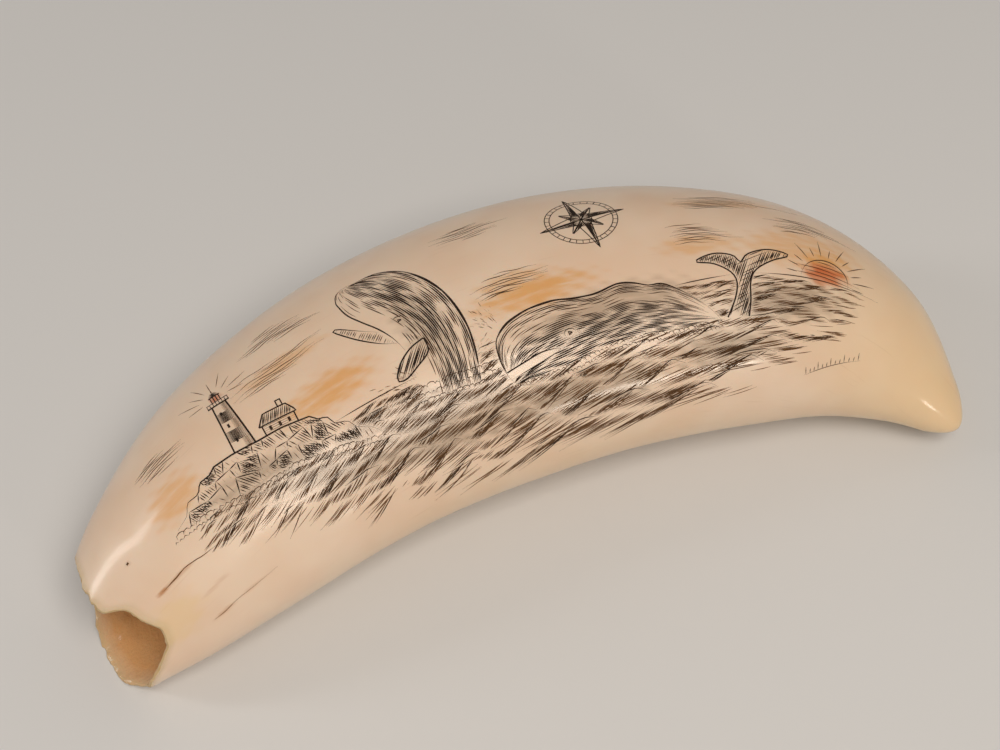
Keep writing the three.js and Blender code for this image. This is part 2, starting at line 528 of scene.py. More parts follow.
class Engraving:
    """The lines of one motif, cut in order, each kept clear of what stands before it."""

    def __init__(self, seed: int, covers: list[Points]) -> None:
        """Starts with no lines.

        Args:
            seed: What everything random in the motif is drawn from.
            covers: Outlines of what stands before the motif.
        """
        self.strokes: list[Stroke] = []
        self.random = np.random.default_rng(seed)
        self.covers = covers

    def cut(
        self,
        places: Points | list,
        width: float = 0.24,
        tone: float = 1.0,
        pointed: tuple[bool, bool] = (True, True),
    ) -> None:
        """Cuts one line, and leaves out the stretches that are covered.

        Args:
            places: The line's corners, in the picture.
            width: Its greatest width.
            tone: How dark its ink is.
            pointed: Whether its start and its end are drawn out to a point.
        """
        p = self.resample(np.asarray(places, float))
        seen = np.ones(len(p), bool)
        for cover in self.covers:
            seen &= ~inside(p, cover)
        for start, end in stretches(seen):
            if end - start > 1:
                ends = pointed[0] or start > 0, pointed[1] or end < len(p)
                self.strokes.append(Stroke(p[start:end], width, tone, *ends))

    def bar(self, places: Points | list, width: float, tone: float = 1.0) -> None:
        """Cuts one line with blunt ends."""
        self.cut(places, width, tone, (False, False))

    @staticmethod
    def resample(line: Points, step: float = 0.9) -> Points:
        """Spaces a line's points evenly, close enough for it to follow the skin.

        Args:
            line: The line's points.
            step: The most that lies between two of the new ones.

        Returns:
            The new points.
        """
        lengths = run_lengths(line)
        count = max(2, int(math.ceil(lengths[-1] / step)) + 1)
        return read_line(line, lengths, np.linspace(0, lengths[-1], count))

    def hatch(
        self,
        outline: Points,
        turn_deg: float,
        spacing: float,
        width: float,
        tone: float,
        skip: float,
        short: float,
    ) -> None:
        """Fills an outline with hand-cut parallel lines.

        Args:
            outline: The closed outline, in the picture.
            turn_deg: The lines' direction.
            spacing: The distance between lines.
            width: A line's width.
            tone: How dark its ink is.
            skip: The share of the lines left out.
            short: The most that a line falls short at each end, as a share of it.
        """
        shortest = 0.25
        c, s = direction(turn_deg)
        turned = np.stack([outline @ (c, s), outline @ (-s, c)], -1)
        for y in np.arange(turned[:, 1].min() + spacing / 2, turned[:, 1].max(), spacing):
            y += self.random.uniform(-0.2, 0.2) * spacing
            ends = sorted(
                x0 + (y - y0) / (y1 - y0) * (x1 - x0)
                for (x0, y0), (x1, y1) in zip(turned, np.roll(turned, -1, axis=0))
                if (y0 > y) != (y1 > y)
            )
            for x0, x1 in zip(ends[::2], ends[1::2]):
                if self.random.random() < skip or x1 - x0 < shortest:
                    continue
                x0 += (x1 - x0) * self.random.uniform(0, short)
                x1 -= (x1 - x0) * self.random.uniform(0, short)
                line = np.array([(x0, y), (x1, y)]) @ ((c, s), (-s, c))
                self.cut(line, width * self.random.uniform(0.75, 1.2), tone)

    def band(
        self,
        low: Points,
        high: Points,
        count: int,
        shade: Callable[[float], float],
        run: float,
        width: float,
    ) -> None:
        """Shades a body with broken lines that follow its two edges.

        Args:
            low: One edge, in the picture.
            high: The other edge, drawn the same way.
            count: How many lines lie between them.
            shade: How dark the body is, from 0 to 1, at a share of the way across.
            run: The length of one stroke, on average.
            width: The width of the darkest stroke, where there is room for it.
        """
        narrowest_room = 0.14
        marks = np.linspace(0, 1, 60)
        edges = []
        for edge in (low, high):
            lengths = run_lengths(edge)
            edges.append(read_line(edge, lengths, marks * lengths[-1]))
        whole = float(run_lengths((edges[0] + edges[1]) / 2)[-1])
        rooms = np.hypot(*(edges[1] - edges[0]).T) / count
        for k in range(count):
            across = (k + 0.5) / count
            dark = shade(across)
            middle = edges[0] * (1 - across) + edges[1] * across
            at = -self.random.uniform(0, run)
            while at < whole:
                stop = at + run * self.random.uniform(0.5, 1.3) * (0.4 + 0.6 * dark)
                if self.random.random() < 1.4 * dark and stop > 0.4:
                    share = np.linspace(max(at, 0), min(stop, whole), 8) / whole
                    room = float(np.interp(share.mean(), marks, rooms))
                    cut_width = min(width * (0.45 + 0.55 * dark), (0.46 + 0.34 * dark) * room)
                    cut_width *= self.random.uniform(0.8, 1.1)
                    if room > narrowest_room:
                        self.cut(read_line(middle, marks, share), cut_width, 0.5 + 0.5 * dark)
                at = stop + self.random.uniform(0.1, 0.6 + 2.0 * (1 - dark))

    def spray(
        self, stand: Placing, at: tuple[float, float], aim_deg: float, fan_deg: float, reach: float
    ) -> None:
        """Throws a fan of water, in short dashes, each path bent over by its fall.

        Args:
            stand: The motif's place.
            at: Where the water leaves, in the motif's own millimetres.
            aim_deg: The direction of the fan's middle.
            fan_deg: The angle from its middle to each side.
            reach: The length of the longest path.
        """
        for _ in range(int(fan_deg * reach / 9) + 6):
            c, s = direction(aim_deg + fan_deg * self.random.uniform(-1, 1))
            far = reach * self.random.uniform(0.5, 1)
            start = self.random.uniform(0.15, 0.75)
            t = np.linspace(start, min(1, start + self.random.uniform(0.06, 0.18)), 6)
            x = at[0] + self.random.uniform(-1, 1) + far * t * c
            y = at[1] + far * t * s - 0.3 * far * t**2
            width, tone = self.random.uniform(0.1, 0.16), self.random.uniform(0.3, 0.8)
            self.cut(stand.put(np.stack([x, y], -1)), width, tone)

    def foam(self, line: Points | list, size: float) -> None:
        """Edges a line with small curls of foam.

        Args:
            line: The line, in the picture.
            size: The radius of the curls, on average.
        """
        for x, y in self.resample(np.asarray(line, float), size * 1.3):
            r = size * self.random.uniform(0.5, 1.1)
            turn = np.linspace(-0.3, math.pi + self.random.uniform(-0.2, 0.6), 7)
            self.cut(np.stack([x + r * np.cos(turn), y + 0.6 * r * np.sin(turn)], -1), 0.16, 0.8)


def horizon(along: Points | float) -> Points:
    """The sea's far edge in the picture, which follows the tooth's bend.

    Args:
        along: Distances from the old root edge.

    Returns:
        Heights in the picture.
    """
    along = np.asarray(along, float)
    dip = 3.2 * np.sin(math.pi * np.clip((along - 26) / 120, 0, 1))
    return 5.5 - dip + 0.07 * np.maximum(0, along - 130)


def sea_floor(along: Points) -> Points:
    """The heights of the picture's lower edge, before its waves."""
    return smooth_curve((3, -4, -12, -17, -19.5, -20, -18, -10, 1), (along - 20) / 156)


@dataclass
class Lighthouse:
    """A lighthouse and its keeper's cottage on a rocky headland."""

    stand: Placing = Placing(43.0, 9.5, -13.0)
    tower_height: float = 11.5
    tower_half_width: float = 2.0
    tower_top_share: float = 0.62
    gallery_height: float = 0.95
    ledges: int = 3
    cliff: Line = (
        (-16.5, -6.6), (-14, -5.2), (-13, -3.2), (-10.6, -2.9), (-9.6, -1.2), (-7.2, -0.9),
        (-6.5, 0), (-2.6, 0.25), (2.6, 0.1), (7, 0.3), (12.5, 0), (13.6, -1.1), (15.3, -1.3),
        (16.2, -3.0), (18.6, -3.4), (19.8, -5.0), (22.5, -5.8), (24.5, -7.4),
    )
    foot: Line = ((22, -7.8), (12, -7.0), (2, -7.6), (-8, -6.8), (-15, -8.2))
    shore: Line = ((-16.5, -7.6), (-9, -7.2), (-2, -8.0), (6, -7.2), (14, -7.6), (24.5, -8.2))

    def covers(self) -> list[Points]:
        """The parts of the picture that the headland, the tower and the cottage hide.

        Returns:
            Closed outlines.
        """
        h, w = self.tower_height, self.tower_half_width
        lamp = h + 4.6
        tower = [(-w, 0), (-w, h), (-1.2, lamp), (1.2, lamp), (w, h), (w, 0)]
        cottage = [(4.2, 0), (3.7, 2.2), (5.3, 4.4), (9.7, 4.4), (11.0, 2.2), (10.4, 0)]
        return [self.stand.put(part) for part in ([*self.cliff, *self.foot], tower, cottage)]

    def engrave(self, e: Engraving) -> None:
        """Cuts the headland with its foam, the tower with its lamp, and the cottage.

        Args:
            e: What the lines are cut into.
        """
        e.cut(self.stand.put(self.cliff), 0.34)
        for tier in range(self.ledges):
            self._rock(e, tier)
        shore = rounded(self.shore, 6)
        e.foam(self.stand.put(shore), 0.9)
        e.foam(self.stand.put(shore - (1.2, 0.9)), 0.7)
        self._tower(e)
        self._lamp(e)
        self._cottage(e)

    def _ledge(self, x: Points, tier: int) -> Points:
        """The heights of one of the rock's ledges, counted down from its top."""
        top = np.interp(x, *np.array(self.cliff).T)
        return np.minimum(top, 0.5 - 2.5 * tier + 0.7 * np.sin(0.5 * x + 2.1 * tier)) if tier else top

    def _rock(self, e: Engraving, tier: int) -> None:
        """Cuts one row of the rock's faces, each light, grey or dark by chance.

        Args:
            e: What the lines are cut into.
            tier: Which ledge the row hangs from.
        """
        put, blocks, least = self.stand.put, 16, 0.5
        joints = -17.0 + np.cumsum(e.random.uniform(1.5, 4.3, blocks))
        feet = joints + e.random.uniform(-1.2, 1.0, blocks)
        tops = np.stack([joints, self._ledge(joints, tier)], -1)
        bases = np.stack([feet, self._ledge(feet, tier + 1)], -1)
        for k in range(blocks - 1):
            if (tops[k : k + 2, 1] - bases[k : k + 2, 1]).min() < least:
                continue
            face = np.array([tops[k], tops[k + 1], bases[k + 1], bases[k]])
            dark = e.random.choice(3, p=(0.3, 0.3, 0.4))
            lean = self.stand.turn_deg - 62 + e.random.uniform(-14, 14)
            if dark == 0:
                e.hatch(put(face), lean, 0.9, 0.14, 0.7, 0.3, 0.5)
            else:
                e.hatch(put(face), lean, (0.46, 0.3)[dark - 1], 0.2, 0.9, 0.08, 0.22)
            if dark == 2:
                e.hatch(put(face), lean + 34, 0.42, 0.2, 1.0, 0.1, 0.3)
            e.cut(put(face[0] + np.outer((0, e.random.uniform(0.6, 1)), face[3] - face[0])))
            if tier and e.random.random() < 0.6:
                e.cut(put(face[[0, 1]]), 0.22)

    def _tower(self, e: Engraving) -> None:
        """Cuts the tower's walls, with dark and light bands, and the gallery on top.

        Args:
            e: What the lines are cut into.
        """
        put, h, w = self.stand.put, self.tower_height, self.tower_half_width
        t, rail = w * self.tower_top_share, h + self.gallery_height
        e.bar(put([(-w, 0.1), (-t, h)]), 0.3)
        e.bar(put([(w, 0.1), (t, h)]), 0.34)
        for share in np.arange(0.02, 0.99, 0.021):
            half = w + (t - w) * share
            y = h * share
            dark = int(share * 5.0) % 2 == 1
            left = -half * (0.96 if dark else -0.15)
            arch = [(left, y), ((left + half) / 2, y - 0.12), (half * 0.97, y)]
            e.cut(self.stand.curve(arch, 3), 0.2 if dark else 0.14, 1.0 if dark else 0.6)
        e.bar(put([(-t - 0.75, h), (t + 0.75, h)]), 0.34)
        e.bar(put([(-t - 0.7, rail), (t + 0.7, rail)]), 0.16)
        for x in np.linspace(-t - 0.65, t + 0.65, 8):
            e.bar(put([(x, h), (x, rail)]), 0.13)

    def _lamp(self, e: Engraving) -> None:
        """Cuts the lamp room with its roof, the tower's windows, and the lamp's rays.

        Args:
            e: What the lines are cut into.
        """
        put, h = self.stand.put, self.tower_height
        lamp, roof = self.tower_half_width * self.tower_top_share * 0.62, h + 2.5
        for x in np.linspace(-lamp, lamp, 4):
            e.bar(put([(x, h + self.gallery_height), (x, roof)]), 0.2)
        e.bar(put([(-lamp - 0.25, roof), (lamp + 0.25, roof)]), 0.28)
        for k in range(5):
            half = (lamp + 0.15) * math.cos(k / 5 * 1.4)
            e.cut(put([(-half, roof + 0.28 * k), (half, roof + 0.28 * k)]), 0.3)
        e.cut(put([(0, roof + 1.1), (0, roof + 2.1)]), 0.2, 1.0, (False, True))
        for window in (0.2, 0.5, 0.78):
            y = h * window
            e.bar(put([(-0.5, y - 0.4), (-0.5, y + 0.45)]), 0.42)
        for ray in range(9):
            way = np.array(direction(-4 + ray * 23.5))
            near, far = 2.3 + 0.5 * (ray % 2), 5.2 + 1.6 * (ray % 2)
            e.cut(put((0, roof - 0.7) + np.outer((near, far), way)), 0.15, 0.6)

    def _cottage(self, e: Engraving) -> None:
        """Cuts the cottage's walls, roof, chimney, windows and boards.

        Args:
            e: What the lines are cut into.
        """
        put = self.stand.put
        x0, x1, wall, ridge = 4.2, 10.4, 2.3, 4.4
        for x in (x0, x1):
            e.bar(put([(x, 0.1), (x, wall)]), 0.26)
        eaves = [(x0 - 0.5, wall - 0.1), (x1 + 0.6, wall - 0.1)]
        roof = np.array([eaves[0], (x0 + 1.1, ridge), (x1 - 0.7, ridge), eaves[1]])
        e.bar(put(np.vstack([roof, roof[:1]])), 0.28)
        e.hatch(put(roof), 62 + self.stand.turn_deg, 0.34, 0.22, 1.0, 0.03, 0.05)
        for x in (8.3, 9.2):
            e.bar(put([(x, ridge), (x, ridge + 1.3)]), 0.24)
        e.bar(put([(8.2, ridge + 1.3), (9.3, ridge + 1.3)]), 0.26)
        for x in (5.5, 7.3, 9.1):
            e.bar(put([(x, 0.75), (x, 1.65)]), 0.5)
        for y in np.arange(0.25, 2.2, 0.42):
            e.cut(put([(x0 + 0.15, y), (x1 - 0.15, y)]), 0.1, 0.45)


@dataclass
class SpermWhale:
    """A sperm whale at the surface, head to the left, its flukes up and its spout blown."""

    stand: Placing = Placing(93.0, -3.4, 4.0)
    snout: Line = ((1.0, -3.2), (-0.1, -1.0), (-0.3, 2.0), (0.5, 5.2), (2.4, 7.0))
    back: Line = (
        (2.4, 7.0), (4.6, 8.0), (9.0, 8.7), (14.0, 8.6), (18.6, 7.6), (23.0, 7.2), (28.0, 7.9),
        (31.0, 7.4), (34.0, 6.2), (37.0, 6.0), (41.0, 3.6), (45.0, 0.6), (48.0, -2.4),
    )
    belly: Line = ((48.0, -2.4), (38.0, -3.1), (26.0, -2.5), (13.0, -3.6), (1.0, -3.2))
    jaw: Line = (
        (0.0, -0.5), (4, -0.1), (8.5, 0.3), (12.4, -0.4), (8.6, -1.2), (4, -1.7), (0.4, -2.0),
    )
    fluke: Line = (
        (49.6, -2.2), (51.6, 1.2), (52.4, 4.4), (51.4, 6.6), (48.2, 8.6), (44.6, 9.4),
        (48.4, 10.8), (52.2, 10.2), (53.6, 8.6), (55.2, 10.4), (59.4, 11.6), (63.4, 10.6),
        (59.8, 9.0), (56.4, 6.8), (55.2, 4.2), (55.0, 1.0), (54.4, -2.2),
    )

    def covers(self) -> list[Points]:
        """The outlines of what shows of the body, and of the raised flukes."""
        body = np.vstack([rounded(part, 5) for part in (self.snout, self.back, self.belly)])
        return [self.stand.put(body), self.stand.curve(self.fluke, 5)]

    def engrave(self, e: Engraving) -> None:
        """Cuts the body with its shading, the jaw and the eye, the flukes, and the spout.

        Args:
            e: What the lines are cut into.
        """
        put = self.stand.put
        water = rounded(self.belly[::-1], 6)
        edge = np.vstack([rounded(self.snout, 6), rounded(self.back, 6)[1:]])
        e.cut(put(edge), 0.32)
        socket, jaw = put(oval(15.2, 1.7, 1.3, 0.8, 13)), self.stand.curve(self.jaw, 5)
        e.covers = [socket, jaw]
        e.band(put(water), put(edge[6:]), 34, self._shade, 8, 0.28)
        e.covers = []
        e.cut(jaw[:18], 0.28, 1.0, (False, True))
        e.cut(jaw[14:], 0.2)
        e.cut(socket[:8], 0.18)
        e.bar(put(oval(15.2, 1.65, 0.468, 0.32, 13)), 0.32)
        flukes = self.stand.curve(self.fluke, 5)
        e.bar(flukes, 0.3)
        e.hatch(flukes, 66 + self.stand.turn_deg, 0.36, 0.22, 1.0, 0.05, 0.16)
        e.hatch(flukes, 24 + self.stand.turn_deg, 0.7, 0.16, 0.9, 0.3, 0.3)
        e.spray(self.stand, (2.2, 7.0), 112, 22, 12)
        e.foam(put(water - (0, 0.5)), 0.9)
        e.foam(put(water[4:40] - (0, 1.5)), 0.8)

    @staticmethod
    def _shade(across: float) -> float:
        """Dark at the water, with a light along the upper flank."""
        return 1.05 - 0.3 * across - 0.6 * math.exp(-(((across - 0.74) / 0.1) ** 2))


@dataclass
class BreachingWhale:
    """A sperm whale leaping out of the water, its head to the upper left."""

    stand: Placing = Placing(81.0, 1.0, -4.0, 0.98)
    back: Line = (
        (7.0, -4.0), (8.2, 2.5), (8.2, 9.0), (6.9, 15.2), (4.6, 20.6), (1.4, 24.8), (-2.4, 27.0),
        (-6.0, 27.0),
    )
    belly: Line = (
        (-4.4, -4.0), (-4.0, 1.0), (-4.4, 5.5), (-5.4, 9.4), (-7.0, 12.8), (-9.0, 16.0),
        (-10.6, 19.4), (-11.0, 23.4),
    )
    snout: Line = ((-11.0, 23.4), (-10.2, 25.8), (-8.4, 27.0), (-6.0, 27.0))
    jaw: Line = (
        (-5.4, 8.6), (-8.2, 10.0), (-11.4, 12.8), (-13.9, 16.2), (-14.3, 17.4), (-13.2, 17.0),
        (-10.4, 14.6), (-7.4, 12.4),
    )
    fin: Line = (
        (-0.4, 7.6), (-3.6, 6.6), (-6.8, 4.4), (-8.6, 1.8), (-6.8, 1.4), (-3.8, 2.8), (-0.6, 4.8),
    )

    def covers(self) -> list[Points]:
        """The parts of the picture that the whale hides.

        Returns:
            The outlines of the body, the jaw and the fin.
        """
        around = (rounded(self.back, 5), rounded(self.snout, 4)[::-1], rounded(self.belly, 5)[::-1])
        put = self.stand.put
        return [put(np.vstack(around)), self.stand.curve(self.jaw, 3), put(self.fin)]

    def engrave(self, e: Engraving) -> None:
        """Cuts the body with its shading, the jaw, the fin, and the thrown water.

        Args:
            e: What the lines are cut into.
        """
        put, curve = self.stand.put, self.stand.curve
        back, belly, snout = put(rounded(self.back, 8)), rounded(self.belly, 8), rounded(self.snout, 6)
        nearer = e.covers
        e.covers = [*nearer, put(self.fin)]
        e.cut(back, 0.32)
        e.cut(put(np.vstack([belly, snout])[10:]), 0.3)
        e.band(put(np.vstack([belly, snout[1:10]])), back, 36, self._shade, 8, 0.32)
        e.bar(put(oval(-3.0, 13.0, 0.42, 0.26, 9)), 0.3)
        e.cut(curve([(-4.0, 13.7), (-2.9, 14.0), (-1.8, 13.5)], 4), 0.2)
        for k in range(5):
            x, y = -3.6 + 0.6 * k, 10.4 - 0.5 * k
            e.cut(curve([(x, y), (x + 0.5, y - 2.4), (x + 0.2, y - 4.6)], 4), 0.18)
        e.covers = nearer
        jaw, fin = curve(self.jaw, 5), curve([*self.fin, self.fin[0]], 5)
        e.cut(jaw, 0.28)
        e.hatch(jaw, 38, 0.4, 0.18, 0.9, 0.1, 0.25)
        e.bar(fin, 0.3)
        e.hatch(fin, 44, 0.36, 0.23, 1.0, 0.02, 0.1)
        fans = ((-5, 125, 30, 10), (6.5, 55, 30, 10), (-7, 158, 16, 11), (9, 24, 16, 11))
        for x, aim, fan, reach in fans:
            e.spray(self.stand, (x, -0.5), aim, fan, reach)
        for drop, half in ((-1.2, 12.5), (-2.6, 10.0), (-4.0, 7.0)):
            e.foam(put([(-half + 0.5, drop), (half + 1.5, drop - 0.6)]), 1.0)

    @staticmethod
    def _shade(across: float) -> float:
        """Pale on the belly, dark on the back, with light along the spine."""
        dark = 0.12 + 0.95 * min(1, max(0, (across - 0.16) / 0.34))
        return min(1, dark) - 0.6 * math.exp(-(((across - 0.84) / 0.07) ** 2))


@dataclass
class Sun:
    """A low sun on the horizon, crossed by thin cloud."""

    along: float = 163.0
    radius: float = 4.8

    def engrave(self, e: Engraving) -> None:
        """Cuts the half disc, the cloud across it, and its rays.

        Args:
            e: What the lines are cut into.
        """
        centre = np.array([self.along, float(horizon(self.along))])
        ring = np.linspace(0.05, math.pi - 0.05, 16)
        e.cut(centre + self.radius * np.stack([np.cos(ring), np.sin(ring)], -1), 0.24, 0.9)
        for k in range(5):
            y = 0.7 + 0.8 * k
            half = math.sqrt(self.radius**2 - y**2) * (1.5 - 0.2 * k)
            shift = 1.4 * math.sin(2.4 * k)
            cloud = np.array([(shift - half, y), (shift, y + 0.15), (shift + half, y)])
            e.cut(centre + cloud, 0.17, 0.75)
        for k in range(13):
            near = self.radius + 0.9
            far = near + (4.2 if k % 2 else 2.2)
            e.cut(centre + np.outer((near, far), direction(6 + 14 * k)), 0.19, 0.75)


@dataclass
class CompassRose:
    """A compass star in a ring of degree marks, with no letters."""

    centre: Placing = Placing(118.0, 23.0, 10.0)
    radius: float = 6.6
    marks: int = 32
    inner_share: float = 0.87

    def cover(self) -> Points:
        """A square round the star that the clouds are kept out of."""
        return self.centre.put(np.array([(-1, 0), (0, -1), (1, 0), (0, 1)]) * self.radius * 1.3)

    def engrave(self, e: Engraving) -> None:
        """Cuts the ring, its marks, and the star with one side of each point shaded.

        Args:
            e: What the lines are cut into.
        """
        put, r = self.centre.put, self.radius
        for share in (1.0, self.inner_share, 0.3):
            e.bar(put(oval(0, 0, 1, 1, 49) * r * share), 0.17, 0.95)
        for k in range(self.marks):
            way = np.array(direction(360 * k / self.marks))
            e.bar(put([way * r * self.inner_share, way * r]), 0.2 if k % 4 == 0 else 0.13)
        for first, long, wide in ((45, 0.7, 0.15), (0, 1.28, 0.2)):
            for k in range(8):
                aim = first + 90 * (k // 2)
                tip = r * long * np.array(direction(aim))
                side = np.array(direction(aim + (45 if k % 2 else -45)))
                half = put([(0, 0), tip, r * wide * math.sqrt(2) * side])
                e.bar(half, 0.2)
                if k % 2:
                    e.hatch(half, aim + self.centre.turn_deg, 0.24, 0.26, 1.0, 0.0, 0.02)


@dataclass
class StreakClouds:
    """Long thin evening clouds, in loose bands over the sky."""

    bands: tuple[tuple[float, float, float], ...] = (
        (32.0, 20.0, 7.0), (57.0, 19.0, 12.0), (62.0, 27.0, 9.0), (101.0, 12.5, 10.0),
        (138.0, 15.5, 10.0), (143.0, 25.5, 13.0), (98.0, 29.0, 8.0), (158.0, 20.0, 8.0),
    )

    def engrave(self, e: Engraving) -> None:
        """Cuts each band as a sheaf of broken, slightly wavy lines.

        Args:
            e: What the lines are cut into.
        """
        uniform = e.random.uniform
        for along, height, half in self.bands:
            for k in range(9):
                y = height + (k - 4) * 0.55 + uniform(-0.15, 0.15)
                length = half * (1 - abs(k - 4) / 7) * uniform(0.55, 1)
                middle = along + half * uniform(-0.3, 0.3)
                x = np.linspace(middle - length, middle + length, 16)
                wave = 0.3 * np.sin(x * 0.4 + height) + 0.1 * np.sin(x * 1.3 + 2 * k)
                e.cut(np.stack([x, y + wave], -1), uniform(0.12, 0.2), uniform(0.5, 0.85))


@dataclass
class Sea:
    """Rolling water: rows of swells, the nearer hiding the farther, combed with falling lines.

    Each pair is a size at the horizon, and what the nearest row adds to it.
    """

    left: float = 29.0
    right: float = 173.0
    drops: tuple[float, ...] = (21.5, 18.6, 15.9, 13.3, 10.9, 8.7, 6.7, 4.9, 3.4, 2.1, 1.0)
    swell_length: tuple[float, float] = (7, 17)
    swell_height: tuple[float, float] = (0.3, 3.0)
    line_step: tuple[float, float] = (0.27, 0.13)
    line_length: tuple[float, float] = (2.6, 11.5)
    line_width: tuple[float, float] = (0.12, 0.07)
    crest_width: tuple[float, float] = (0.15, 0.07)

    @staticmethod
    def sized(pair: tuple[float, float], near: float) -> float:
        """A size at a row, from 0 at the horizon to 1 at the nearest."""
        return pair[0] + pair[1] * near

    def turns(self, along: Points, near: float) -> Points:
        """Counts the swells of a row, with a whole number at each crest."""
        even = (along - self.left) / self.sized(self.swell_length, near)
        return even + 7.7 * near + 0.2 * np.sin(along / 17 + 9 * near)

    def crest(self, along: Points, near: float) -> Points:
        """The top edge of a row of swells, sharp at its crests and round in its hollows.

        Args:
            along: Distances from the old root edge.
            near: How near the row is.

        Returns:
            Heights in the picture.
        """
        sharp = 1 - np.abs(np.sin(math.pi * self.turns(along, near)))
        tall = self.sized(self.swell_height, near) * (0.75 + 0.35 * np.sin(along / 8.3 + 31 * near))
        ripple = 0.25 * np.sin(along / 2.7 + 40 * near)
        return horizon(along) - self.drops[0] * near + tall * sharp**1.3 + ripple

    def engrave(self, e: Engraving) -> None:
        """Cuts the swells from near to far, and then the horizon.

        Args:
            e: What the lines are cut into.
        """
        along = np.linspace(self.left - 14, self.right + 1, 240)
        depth = -60
        motifs = e.covers
        hidden = np.full_like(along, -40.0)
        for drop in self.drops:
            near = drop / self.drops[0]
            before = np.vstack([np.stack([along, hidden], -1), [(along[-1], depth), (along[0], depth)]])
            e.covers = [*motifs, before]
            self._comb(e, near)
            hidden = np.maximum(hidden, self.crest(along, near))
        e.covers = motifs
        far = along[along > self.left]
        e.cut(np.stack([far, horizon(far) - 0.05], -1), 0.2, 0.9)

    def _comb(self, e: Engraving, near: float) -> None:
        """Cuts one row: the lines that fall from its crests, and then the crests.

        Args:
            e: What the lines are cut into.
            near: How near the row is.
        """
        step = self.sized(self.line_step, near)
        x = np.arange(self.left, self.right, step)
        x += e.random.uniform(-0.06, 0.06, len(x))
        top = self.crest(x, near)
        ahead = self.turns(x, near) % 1
        shade = (0.2 + 0.8 * ahead**1.4) * (0.75 + 0.25 * np.sin(x / 11 + 23 * near))
        ragged = sea_floor(x) - 0.8 + 1.2 * np.sin(0.7 * x) + 0.6 * np.sin(2.3 * x)
        wet = smooth_step(top - ragged, 0.0, 4.0) * smooth_step(self.right - x, 0.0, 10.0)
        fall = 13 + 15 * ahead + e.random.normal(0, 1.6, len(x))
        width = self.sized(self.line_width, near) * (0.8 + 0.35 * shade)
        slant = np.radians(fall)
        room = step * np.abs(np.sin(slant) - np.gradient(top, x) * np.cos(slant))
        wanted = np.minimum(0.4 + 0.8 * shade, 0.08 + 0.95 * room / width)
        kept = e.random.random(len(x)) < wanted
        for i in np.flatnonzero(kept & (wet > 0.02)):
            length = self.sized(self.line_length, near) * e.random.uniform(0.6, 1.2)
            bend = e.random.uniform(3, 13) * np.linspace(0, 1, 6)
            heading = np.radians(fall[i] - 180 - bend)
            steps = np.stack([np.cos(heading), np.sin(heading)], -1) * length / 6
            below = e.random.uniform(0.0, 0.9) * (0.2 + near) * (1.3 - shade[i])
            path = np.vstack([(0, 0), np.cumsum(steps * (0.5 + 0.5 * wet[i]), axis=0)])
            tone = (0.3 + 0.7 * shade[i]) * (0.5 + 0.5 * wet[i])
            e.cut((x[i], top[i] - below) + path, width[i] * e.random.uniform(0.8, 1.15), tone)
        for first, last in stretches((wet > 0.3) & ((ahead > 0.62) | (ahead < 0.16))):
            if last - first > 6:
                crest = np.stack([x[first:last:4], top[first:last:4]], -1)
                e.cut(crest, self.sized(self.crest_width, near), 0.95)


@dataclass
class TickRow:
    """A small row of slanted ticks along a fine line, low at the tip's end of the picture."""

    start: tuple[float, float] = (162.5, -11.2)
    end: tuple[float, float] = (175.5, -3.6)
    ticks: int = 13

    def engrave(self, e: Engraving) -> None:
        """Cuts the line and the ticks, every third one tall.

        Args:
            e: What the lines are cut into.
        """
        a, b = np.array(self.start), np.array(self.end)
        way = (b - a) / np.linalg.norm(b - a)
        side = np.array([-way[1], way[0]])
        e.cut([a, b], 0.13, 0.8)
        for k in range(self.ticks):
            foot = a + (b - a) * (k + 0.5) / self.ticks
            tall = 1.5 if k % 3 == 0 else 0.85
            e.cut([foot, foot + side * tall + way * 0.4], 0.17, 0.9)


@dataclass
class AgeMarks:
    """What age has left in the dentine near the root: a drying crack, a hairline and a pit."""

    crack: Line = ((28.5, 0.1), (25.6, 0.4), (22.4, 1.1), (19.4, 0.9), (16.8, 0.8))
    hairline: Line = ((20.4, -9.5), (22.6, -9.8), (25.2, -9.7), (29, -10.1), (34, -10.4))
    pit: tuple[float, float] = (16.2, 9.2)

    def engrave(self, e: Engraving) -> None:
        """Opens the crack, wider towards the root, a paler hairline below it, and the pit.

        Args:
            e: What the lines are cut into.
        """
        line = rounded(self.crack, 5)
        line[:, 1] += 0.05 * np.sin(line[:, 0] * 5)
        e.cut(line, 0.17, 0.25)
        e.cut(line[len(line) // 2 :], 0.26, 0.1)
        fine = rounded(self.hairline, 5)
        e.cut(fine[:12], 0.13, 0.0)
        e.cut(fine, 0.07, 0.0)
        x, y = self.pit
        e.bar([(x - 0.22, y - 0.05), (x + 0.22, y + 0.05)], 0.4, 0.5)


class Mask(Enum):
    """A share from 0 to 1 that the skin's mesh carries at each point, for its finish to read."""

    HOLLOW = "hollow"
    UNPOLISHED = "unpolished"
    THIN = "thin"
    AGED = "aged"
    SUNSET = "sunset"
    GLOW = "glow"
    WASH = "wash"
    STAIN = "stain"


